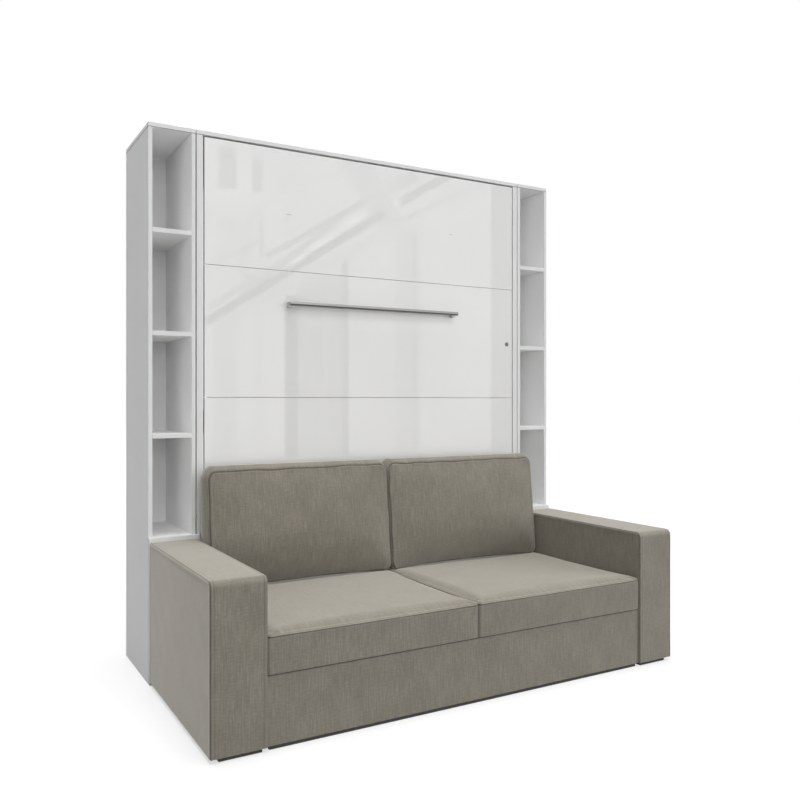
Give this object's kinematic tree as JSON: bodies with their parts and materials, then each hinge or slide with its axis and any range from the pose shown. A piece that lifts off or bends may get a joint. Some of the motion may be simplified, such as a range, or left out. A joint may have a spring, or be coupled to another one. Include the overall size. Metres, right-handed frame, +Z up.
{
  "type": "vertical wall bed with sofa",
  "caption": "White wall bed that folds down between open shelf columns over an upholstered sofa, with a bar that becomes its leg.",
  "frame": {"origin": "middle of the footprint on the floor", "axes": "+Z up, +Y towards the wall behind, +X to the right seen from the front"},
  "size_m": [1.98, 1.21, 2.17],
  "materials": {
    "white_board": "matt white melamine on chipboard",
    "gloss_board": "high-gloss white board",
    "greige_fabric": "greige linen-look woven cloth over foam",
    "mattress_ticking": "off-white knitted ticking over foam",
    "birch": "birch plywood",
    "brushed_metal": "satin grey",
    "zinc_steel": "zinc plated",
    "black_steel": "black paint",
    "black_plastic": "moulded black"
  },
  "bodies": {
    "cabinet": {"cabinet_side_left": "white_board", "cabinet_side_right": "white_board", "cabinet_top": "white_board", "cabinet_floor_board": "white_board", "rear_rail_top": "white_board", "rear_rail_middle": "white_board", "column_left_inner_side": "white_board", "column_left_outer_side": "white_board", "column_left_top": "white_board", "column_left_back": "white_board", "column_left_base_shelf": "white_board", "column_left_shelf_1": "white_board", "column_left_shelf_2": "white_board", "column_left_shelf_3": "white_board", "column_right_inner_side": "white_board", "column_right_outer_side": "white_board", "column_right_top": "white_board", "column_right_back": "white_board", "column_right_base_shelf": "white_board", "column_right_shelf_1": "white_board", "column_right_shelf_2": "white_board", "column_right_shelf_3": "white_board", "hinge_plate_left": "zinc_steel", "hinge_plate_right": "zinc_steel", "lock_keeper": "zinc_steel", "sofa_arm_left": "greige_fabric", "sofa_arm_right": "greige_fabric", "arm_back_board_left": "white_board", "arm_back_board_right": "white_board", "arm_glide_left": "black_plastic", "arm_glide_right": "black_plastic", "sofa_front_rail": "greige_fabric", "front_plinth": "black_plastic", "sofa_rear_rail": "white_board", "seat_platform": "birch", "seat_cushion_left": "greige_fabric", "seat_cushion_right": "greige_fabric"},
    "bed": {"front_board_1": "gloss_board", "front_board_2": "gloss_board", "front_board_3": "gloss_board", "front_board_4": "gloss_board", "bed_rail_left": "white_board", "bed_rail_right": "white_board", "bed_head_rail": "white_board", "bed_foot_rail": "white_board", "slat_base": "birch", "mattress": "mattress_ticking", "bed_hinge_plate_left": "zinc_steel", "bed_hinge_plate_right": "zinc_steel", "lock_rosette": "brushed_metal"},
    "folding_leg": {"leg_foot_bar": "brushed_metal", "leg_arm_left": "brushed_metal", "leg_arm_right": "brushed_metal"},
    "lock_plug": {"lock_cylinder": "brushed_metal"},
    "back_cushions": {"back_cushion_left": "greige_fabric", "back_cushion_right": "greige_fabric"},
    "strut_body_left": {"strut_cylinder_left": "black_steel"},
    "strut_body_right": {"strut_cylinder_right": "black_steel"},
    "strut_piston_left": {"strut_rod_left": "zinc_steel"},
    "strut_piston_right": {"strut_rod_right": "zinc_steel"}
  },
  "joints": [
    {"name": "bed_fold", "type": "hinge", "parent": "cabinet", "child": "bed", "pos_m": [0, 0.245, 0.43], "axis": [1, 0, 0], "range_deg": [0, 90]},
    {"name": "leg_swing", "type": "hinge", "parent": "bed", "child": "folding_leg", "pos_m": [0, 0.2015, 1.871], "axis": [-1, 0, 0], "range_deg": [0, 90]},
    {"name": "lock_turn", "type": "hinge", "parent": "bed", "child": "lock_plug", "pos_m": [0.737, 0.195, 1.37], "axis": [0, 1, 0], "range_deg": [0, 90]},
    {"name": "back_cushions_off", "type": "hinge", "parent": "cabinet", "child": "back_cushions", "pos_m": [0, -0.805, -0.82742], "axis": [1, 0, 0], "range_deg": [0, 90]},
    {"name": "strut_swing_left", "type": "hinge", "parent": "cabinet", "child": "strut_body_left", "pos_m": [-0.7505, 0.445, 0.95], "axis": [1, 0, 0], "range_deg": [0, 18.17]},
    {"name": "strut_swing_right", "type": "hinge", "parent": "cabinet", "child": "strut_body_right", "pos_m": [0.7505, 0.445, 0.95], "axis": [1, 0, 0], "range_deg": [0, 18.17]},
    {"name": "strut_slide_left", "type": "slide", "parent": "strut_body_left", "child": "strut_piston_left", "axis": [0, 0.1888, 0.982], "range_m": [0, 0.3206]},
    {"name": "strut_slide_right", "type": "slide", "parent": "strut_body_right", "child": "strut_piston_right", "axis": [0, 0.1888, 0.982], "range_m": [0, 0.3206]}
  ],
  "couplings": [
    {"joint": "leg_swing", "follows": "bed_fold", "ratio": 1},
    {"joint": "back_cushions_off", "follows": "bed_fold", "ratio": 1},
    {"joint": "strut_swing_left", "follows": "bed_fold", "ratio": 0.2018},
    {"joint": "strut_swing_right", "follows": "bed_fold", "ratio": 0.2018},
    {"joint": "strut_slide_left", "follows": "bed_fold", "m_per_rad": 0.204},
    {"joint": "strut_slide_right", "follows": "bed_fold", "m_per_rad": 0.204}
  ]
}
